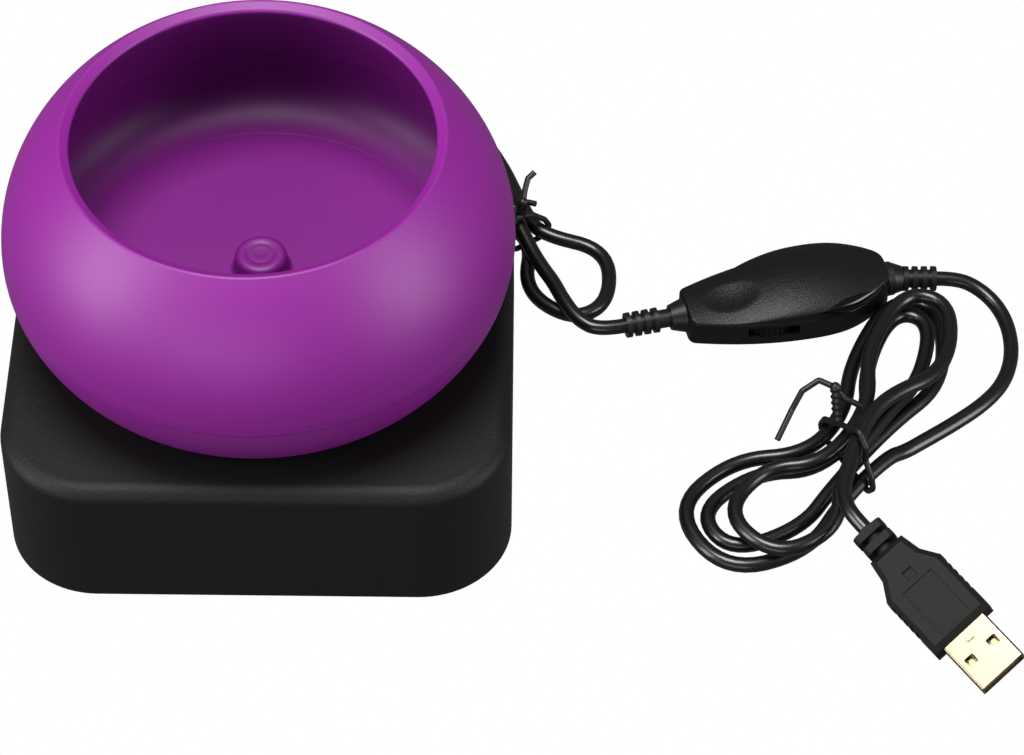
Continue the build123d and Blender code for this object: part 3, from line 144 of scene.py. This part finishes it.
def cord_curve(name, points):
    """Smooth cord through the middles of its guide's edges.

    The bevel is 1 deep and each point's radius is the cord's own, so that the curve's bound
    box, which takes in that radius, is the cord's.
    """
    data = bpy.data.curves.new(name, "CURVE")
    data.dimensions = "3D"
    data.bevel_depth = 1.0
    data.bevel_resolution = CORD_ROUNDNESS
    data.resolution_u = CORD_SMOOTHNESS
    data.use_fill_caps = True
    spline = data.splines.new("NURBS")
    spline.points.add(len(points) - 1)
    for place, point in zip(spline.points, points):
        place.co = (point[0] * MM, point[1] * MM, point[2] * MM, 1)
        place.radius = CORD_D * MM / 2
    spline.order_u = CORD_ORDER
    spline.use_endpoint_u = True
    curve = bpy.data.objects.new(name, data)
    bpy.context.collection.objects.link(curve)
    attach(curve, "base")
    return curve


def spline_length(points):
    """Length of the smooth curve that the guide gives, in metres."""
    guide = [Vector(p) * MM for p in points]
    middles = [(guide[k] + guide[k + 1]) / 2 for k in range(1, len(guide) - 2)]
    stations = [guide[0]] + middles + [guide[-1]]
    length = 0.0
    for start, corner, end in zip(stations, guide[1:], stations[1:]):
        before = start
        for j in range(1, LENGTH_STEPS + 1):
            t = j / LENGTH_STEPS
            here = start * (1 - t) ** 2 + corner * 2 * t * (1 - t) + end * t ** 2
            length += (here - before).length
            before = here
    return length


def make_cords(lid, dots):
    inner = BASE_RUN + HANK_SHORT + CONTROLLER_RUN
    outer = OUTER_RUN + HANK_LONG + PLUG_RUN
    first = cord_curve("cord_to_control", inner)
    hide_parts("cord_base_run", "hank_short", "cord_controller_run")
    second = cord_curve("cord_to_plug", outer)
    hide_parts("cord_outer_run", "hank_long", "cord_plug_run")
    print("cord lengths", round(spline_length(inner), 4), round(spline_length(outer), 4))
    return first, second


# Materials, with colours as picture values of 0 to 255

SRGB_KNEE, SRGB_SLOPE, SRGB_OFFSET, SRGB_POWER = 0.04045, 12.92, 0.055, 2.4
PICTURE_TOP = 255
PLASTIC_IOR = 1.5
GRAIN_DETAIL = 3.0
GRAIN_DEPTH = 0.0002
LOOKS = {
    "bowl": dict(picture=(110, 15, 114), rough=0.48, spec=0.42),
    "base": dict(picture=(12, 12, 11), rough=0.52, grain=0.7, grain_scale=2600, spec=0.22),
    "rubber": dict(picture=(18, 18, 17), rough=0.8),
    "steel": dict(picture=(190, 188, 184), rough=0.3, metal=1.0),
    "plated": dict(picture=(176, 178, 180), rough=0.36, metal=1.0),
    "magnet": dict(picture=(52, 52, 54), rough=0.6, grain=0.3),
    "nylon": dict(picture=(225, 224, 216), rough=0.4),
    "brass": dict(picture=(212, 176, 92), rough=0.28, metal=1.0),
    "copper": dict(picture=(196, 106, 62), rough=0.34, metal=1.0, grain=0.4, grain_scale=900),
    "lead": dict(picture=(150, 22, 20), rough=0.45),
    "jacket": dict(picture=(8, 8, 7), rough=0.34, coat=0.3, coat_rough=0.16, spec=0.35),
    "control": dict(picture=(11, 11, 10), rough=0.4, grain=0.5, grain_scale=2600, spec=0.25),
    # Near-black colour painted as shade for the hollow under the lid's crown; the lower roughness is
    # the real gloss
    "gloss_and_hollow_shade": dict(picture=(5, 5, 5), rough=0.16, spec=0.4),
    # Near-black, dull colour painted as the shade inside the finger recess's small pits
    "pit_shade": dict(picture=(3, 3, 3), rough=0.6, spec=0.1),
    "relief": dict(picture=(12, 12, 11), rough=0.42, spec=0.35),
    "wheel": dict(picture=(7, 7, 7), rough=0.5, spec=0.2),
    "board": dict(picture=(28, 92, 52), rough=0.4),
    "tie": dict(picture=(13, 13, 12), rough=0.45, spec=0.4),
    "plug": dict(picture=(13, 13, 11), rough=0.62, grain=0.5, grain_scale=2400, spec=0.2),
    "shell": dict(picture=(138, 126, 105), rough=0.3, metal=1.0),
    "tongue": dict(picture=(236, 236, 232), rough=0.45),
}
NODE_LOOKS = {
    "base": ("base_housing", "bottom_cover", "motor_retainer"),
    "bowl": ("bowl_lower", "bowl_upper"),
    "rubber": ("rubber_feet",),
    "steel": ("base_screws", "retainer_screws", "controller_screws", "motor_shaft", "rotor_core"),
    "plated": ("motor_can", "speed_pot"),
    "magnet": ("motor_magnets",),
    "nylon": ("motor_end_cap", "drive_hub"),
    "brass": ("motor_brushes", "motor_terminals", "plug_contacts"),
    "copper": ("rotor_windings", "commutator"),
    "lead": ("motor_leads",),
    "control": ("controller_top", "controller_bottom"),
    "wheel": ("speed_wheel",),
    "relief": ("relief_left", "relief_right", "cable_gland"),
    "board": ("control_board",),
    "tie": ("tie_short", "tie_long"),
    "plug": ("plug_overmold",),
    "shell": ("plug_shell",),
    "tongue": ("plug_tongue",),
    "jacket": ("cord_base_run", "hank_short", "cord_controller_run", "cord_outer_run", "hank_long",
               "cord_plug_run"),
}


def linear(picture):
    """Scene colour from picture values."""
    channels = []
    for value in picture:
        share = value / PICTURE_TOP
        if share <= SRGB_KNEE:
            channels.append(share / SRGB_SLOPE)
        else:
            channels.append(((share + SRGB_OFFSET) / (1 + SRGB_OFFSET)) ** SRGB_POWER)
    return (*channels, 1.0)


def material(name, picture, rough, metal=0.0, coat=0.0, coat_rough=0.1, grain=0.0,
             grain_scale=1500.0, spec=0.5):
    made = bpy.data.materials.new(name)
    made.use_nodes = True
    tree = made.node_tree
    shader = tree.nodes["Principled BSDF"]
    shader.inputs["Base Color"].default_value = linear(picture)
    shader.inputs["Roughness"].default_value = rough
    shader.inputs["Metallic"].default_value = metal
    shader.inputs["IOR"].default_value = PLASTIC_IOR
    shader.inputs["Coat Weight"].default_value = coat
    shader.inputs["Coat Roughness"].default_value = coat_rough
    shader.inputs["Specular IOR Level"].default_value = spec
    if grain:
        place = tree.nodes.new("ShaderNodeTexCoord")
        noise = tree.nodes.new("ShaderNodeTexNoise")
        noise.inputs["Scale"].default_value = grain_scale
        noise.inputs["Detail"].default_value = GRAIN_DETAIL
        bump = tree.nodes.new("ShaderNodeBump")
        bump.inputs["Strength"].default_value = grain
        bump.inputs["Distance"].default_value = GRAIN_DEPTH
        tree.links.new(place.outputs["Object"], noise.inputs["Vector"])
        tree.links.new(noise.outputs["Fac"], bump.inputs["Height"])
        tree.links.new(bump.outputs["Normal"], shader.inputs["Normal"])
    return made


MATERIALS = {name: material(name, **look) for name, look in LOOKS.items()}


def dress(thing, look):
    thing.data.materials.clear()
    thing.data.materials.append(MATERIALS[look])


for look, names in NODE_LOOKS.items():
    for name in names:
        dress(nodes[name], look)


# Pieces that the photograph shows and the frame has plainer

def mesh_piece(name, vertices, faces, body, look, smooth=True):
    data = bpy.data.meshes.new(name)
    data.from_pydata(vertices, [], faces)
    for face in data.polygons:
        face.use_smooth = smooth
    piece = bpy.data.objects.new(name, data)
    bpy.context.collection.objects.link(piece)
    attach(piece, body)
    dress(piece, look)
    return piece


# Inside of the bowl, by outlines in radius and height

BOWL_FLOOR = 46.74
FLOOR_EDGE_R = 42.07
FLOOR_LINE_R = 0.16
FLOOR_LINE_STEPS = 192
NUB_TOP = 51.84
NUB_FLAT_R = 4.3
NUB_SHOULDER_R = 1.5
NUB_SIDE = ((6.9, 46.76), (6.5, 46.95), (6.25, 47.4), (6.05, 48.5), (5.85, 49.9))
NUB_RECESS = ((3.4, NUB_TOP), (3.2, NUB_TOP - 0.14), (0.02, NUB_TOP - 0.05))
NUB_STEPS = 96
ARC_STEPS = 8


def lathe(name, profile, steps):
    """Piece of the bowl turned about its axis."""
    vertices = []
    for k in range(steps):
        turn = 2 * math.pi * k / steps
        vertices += [(r * MM * math.cos(turn), r * MM * math.sin(turn), z * MM) for r, z in profile]
    count = len(profile)
    faces = []
    for k in range(steps):
        a, b = k * count, (k + 1) % steps * count
        faces += [(a + j, b + j, b + j + 1, a + j + 1) for j in range(count - 1)]
    return mesh_piece(name, vertices, faces, "bowl", "bowl")


def arc(centre_r, centre_z, radius, sweep):
    """Outline of an arc that starts on its outer side and turns upwards."""
    turns = [sweep * k / ARC_STEPS for k in range(ARC_STEPS + 1)]
    return [(centre_r + radius * math.cos(turn), centre_z + radius * math.sin(turn)) for turn in turns]


def nub_cap():
    """Round-shouldered nub over the plain cone of the frame."""
    shoulder = arc(NUB_FLAT_R, NUB_TOP - NUB_SHOULDER_R, NUB_SHOULDER_R, math.pi / 2)
    return lathe("nub_cap", [*NUB_SIDE, *shoulder[1:], *NUB_RECESS], NUB_STEPS)


def floor_line():
    """Fine raised line where the bowl's floor meets its wall."""
    return lathe("floor_line", arc(FLOOR_EDGE_R, BOWL_FLOOR, FLOOR_LINE_R, math.pi), FLOOR_LINE_STEPS)


nub_cap()
floor_line()


# Lid of the speed control

# In its own frame, u runs along it from its left end and v across it. Each table below starts its
# rows with a share of the lid's length.
CONTROL_AT = (95.9, 25.2)
CONTROL_TURN = 14.2
CONTROL_LENGTH = 49.4
CONTROL_HALF = 11.0
RIGHT_END_SHARES = ((0.77, 0.93), (0.90, 0.68), (1.0, 0.36))
NEAR_SHARES = ((0.0, 0.51), (0.18, 0.75), (0.37, 0.92), (0.57, 1.0), *RIGHT_END_SHARES)
FAR_SHARES = ((0.0, 0.47), (0.13, 0.56), (0.25, 0.69), (0.37, 0.87), (0.48, 0.97), (0.57, 1.0),
              *RIGHT_END_SHARES)
HEIGHTS = ((0.0, 8.6), (0.13, 9.1), (0.25, 9.9), (0.37, 11.1), (0.5, 12.1), (0.62, 12.4),
           (0.77, 12.0), (0.90, 11.1), (1.0, 10.2))
LID_FLOOR = 7.33
LID_LIP = 0.6
LID_SQUARENESS = 9
CORNER_R = 2.2
EDGE_R = 1.0
CROWN_R = 26.0
LID_LONG, LID_ACROSS = 120, 48
LID_ROW = LID_ACROSS + 3
DISH_AT = (11.3, -1.2)
DISH_HALF = (7.0, 4.4)
DISH_DEPTH = 0.75
DISH_POWER = 1.3
# Band on the lid's near side with painted shade for the hollow under the crown, and real gloss
SHADED_GLOSS_FROM, SHADED_GLOSS_TO = 0.60, 0.94
SHADED_GLOSS_ROWS = 9
# Flat discs of painted shade standing for the small pits in the finger recess
DOT_COLUMNS, DOT_ROWS = 6, 4
DOT_STEP = (1.7, 1.5)
DOT_FIELD_SHARE = 0.72
DOT_R = 0.2
DOT_SIDES = 8
DOT_LIFT = 0.03


def smooth_table(table, share):
    """Value of a table at a place, by a cubic between its rows that turns smoothly at each."""
    k = max(i for i in range(len(table) - 1) if table[i][0] <= share)
    slopes = [(b[1] - a[1]) / (b[0] - a[0]) for a, b in zip(table, table[1:])]

    def tangent(i):
        if i == 0 or i == len(table) - 1:
            return slopes[0 if i == 0 else -1]
        return (slopes[i - 1] + slopes[i]) / 2

    (x0, y0), (x1, y1) = table[k], table[k + 1]
    t = (share - x0) / (x1 - x0)
    span = x1 - x0
    return (y0 * (1 + 2 * t) * (1 - t) ** 2 + tangent(k) * span * t * (1 - t) ** 2
            + y1 * t * t * (3 - 2 * t) + tangent(k + 1) * span * t * t * (t - 1))


def control_point(u, v, z):
    turn = math.radians(CONTROL_TURN)
    x = CONTROL_AT[0] + u * math.cos(turn) - v * math.sin(turn)
    y = CONTROL_AT[1] + u * math.sin(turn) + v * math.cos(turn)
    return x * MM, y * MM, z * MM


def rounded(distance, radius):
    """How far a rounded edge has fallen at a distance from the end."""
    if distance >= radius:
        return 0.0
    return radius - math.sqrt(radius ** 2 - (radius - distance) ** 2)


def dish_place(u, v):
    """Place in the finger recess, in shares of its half sizes from its middle."""
    return (u - DISH_AT[0]) / DISH_HALF[0], (v - DISH_AT[1]) / DISH_HALF[1]


def lid_height(u, v):
    """Height of the crown, with the finger recess let into it."""
    end = min(u, CONTROL_LENGTH - u)
    top = smooth_table(HEIGHTS, u / CONTROL_LENGTH) - rounded(end, EDGE_R) - v ** 2 / (2 * CROWN_R)
    along, across = dish_place(u, v)
    inside = max(0.0, 1 - along ** 2 - across ** 2)
    return top - DISH_DEPTH * inside ** DISH_POWER


def station_share(i):
    """Share of the lid's length at a station. Stations crowd towards both ends."""
    return (1 - math.cos(math.pi * i / LID_LONG)) / 2


def lid_station(i):
    """Points across the lid, from its near foot over the crown to its far foot."""
    u = CONTROL_LENGTH * station_share(i)
    share = u / CONTROL_LENGTH
    corner = rounded(min(u, CONTROL_LENGTH - u), CORNER_R)
    near = CONTROL_HALF * smooth_table(NEAR_SHARES, share) - corner
    far = CONTROL_HALF * smooth_table(FAR_SHARES, share) - corner
    points = [control_point(u, -near, LID_FLOOR)]
    for j in range(LID_ACROSS + 1):
        s = -math.cos(math.pi * j / LID_ACROSS)
        v = s * (far if s > 0 else near)
        fall = max(0.0, 1 - abs(s) ** LID_SQUARENESS) ** (1 / LID_SQUARENESS)
        z = LID_FLOOR + LID_LIP + (lid_height(u, v) - LID_FLOOR - LID_LIP) * fall
        points.append(control_point(u, v, z))
    points.append(control_point(u, far, LID_FLOOR))
    return points


def lid_faces():
    """Crown, both ends and the floor of the lid."""
    faces = []
    for i in range(LID_LONG):
        for j in range(LID_ROW - 1):
            a, b = i * LID_ROW + j, (i + 1) * LID_ROW + j
            faces.append((a, b, b + 1, a + 1))
    faces.append(tuple(range(LID_ROW)))
    faces.append(tuple(reversed(range(LID_LONG * LID_ROW, (LID_LONG + 1) * LID_ROW))))
    near_foot = tuple(i * LID_ROW for i in range(LID_LONG + 1))
    far_foot = tuple((i + 1) * LID_ROW - 1 for i in reversed(range(LID_LONG + 1)))
    faces.append(near_foot + far_foot)
    return faces


def gloss_and_shade_side(lid):
    """Shiny band low on the lid's near side, widest at the middle of its length. Its darker colour is
    painted shade for the hollow under the crown, and its gloss is the real surface.
    """
    lid.data.materials.append(MATERIALS["gloss_and_hollow_shade"])
    for k, face in enumerate(lid.data.polygons[:LID_LONG * (LID_ROW - 1)]):
        i, j = divmod(k, LID_ROW - 1)
        along = min(1.0, max(0.0, (station_share(i) - SHADED_GLOSS_FROM) / (SHADED_GLOSS_TO - SHADED_GLOSS_FROM)))
        swell = math.sin(math.pi * along)
        if swell > 0 and j < 1 + SHADED_GLOSS_ROWS * swell:
            face.material_index = 1


def lid_piece():
    vertices = [point for i in range(LID_LONG + 1) for point in lid_station(i)]
    lid = mesh_piece("control_lid", vertices, lid_faces(), "base", "control")
    gloss_and_shade_side(lid)
    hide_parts("controller_top")
    return lid


def dot_places():
    """Middles of the dark discs painted as pit shade in the finger recess, each second row moved half
    a step along.
    """
    places = []
    for a in range(DOT_COLUMNS):
        for b in range(DOT_ROWS):
            shift = DOT_STEP[0] / 2 if b % 2 else 0
            u = DISH_AT[0] + (a - (DOT_COLUMNS - 1) / 2) * DOT_STEP[0] + shift
            v = DISH_AT[1] + (b - (DOT_ROWS - 1) / 2) * DOT_STEP[1]
            along, across = dish_place(u, v)
            if along ** 2 + across ** 2 <= DOT_FIELD_SHARE:
                places.append((u, v))
    return places


def lid_pit_shade():
    """Flat near-black discs just above the finger recess, painted as the shade inside its small pits.
    """
    vertices, faces = [], []
    for u, v in dot_places():
        first = len(vertices)
        for k in range(DOT_SIDES):
            turn = 2 * math.pi * k / DOT_SIDES
            du, dv = DOT_R * math.cos(turn), DOT_R * math.sin(turn)
            height = lid_height(u + du, v + dv) + DOT_LIFT
            vertices.append(control_point(u + du, v + dv, height))
        faces.append(tuple(range(first, first + DOT_SIDES)))
    return mesh_piece("recess_pit_shade", vertices, faces, "base", "pit_shade", smooth=False)


for cord in make_cords(lid_piece(), lid_pit_shade()):
    dress(cord, "jacket")


# Light

FILL_GREY, FILL_STRENGTH = 0.8, 0.2
PAPER_GREY, PAPER_STRENGTH = 1.0, 1.0
LAMPS = {
    "overhead": dict(at=(-0.06, -0.06, 1.0), towards=(0.02, 0, 0.03), size=(0.45, 0.45), power=13.0),
    "left": dict(at=(-0.95, -0.35, 0.45), towards=(0, 0, 0.05), size=(0.5, 0.8), power=13.0),
    "right": dict(at=(1.0, -0.35, 0.38), towards=(0.05, 0, 0.05), size=(0.4, 0.8), power=9.0),
    "front": dict(at=(-0.2, -0.95, 0.22), towards=(0.05, 0, 0.03), size=(0.9, 0.3), power=3.0),
}


def area_light(name, at, towards, size, power):
    data = bpy.data.lights.new(name, "AREA")
    data.shape = "RECTANGLE"
    data.size, data.size_y = size
    data.energy = power
    lamp = bpy.data.objects.new(name, data)
    bpy.context.collection.objects.link(lamp)
    aim = Vector(towards) - Vector(at)
    lamp.rotation_euler = aim.to_track_quat("-Z", "Y").to_euler()
    lamp.location = at


def background(tree, grey, strength):
    node = tree.nodes.new("ShaderNodeBackground")
    node.inputs["Color"].default_value = (grey, grey, grey, 1)
    node.inputs["Strength"].default_value = strength
    return node.outputs["Background"]


def make_world():
    """White paper to the camera, and a dim grey fill to everything else."""
    world = bpy.data.worlds.new("world")
    bpy.context.scene.world = world
    world.use_nodes = True
    tree = world.node_tree
    tree.nodes.clear()
    out = tree.nodes.new("ShaderNodeOutputWorld")
    path = tree.nodes.new("ShaderNodeLightPath")
    mix = tree.nodes.new("ShaderNodeMixShader")
    tree.links.new(path.outputs["Is Camera Ray"], mix.inputs["Fac"])
    tree.links.new(background(tree, FILL_GREY, FILL_STRENGTH), mix.inputs[1])
    tree.links.new(background(tree, PAPER_GREY, PAPER_STRENGTH), mix.inputs[2])
    tree.links.new(mix.outputs["Shader"], out.inputs["Surface"])


make_world()
for name, lamp in LAMPS.items():
    area_light(name, **lamp)
scene = bpy.context.scene
scene.view_settings.view_transform = "Standard"
scene.view_settings.look = "None"
scene.view_settings.exposure = 0.0
scene.view_settings.gamma = 1.0

bpy.context.view_layer.update()
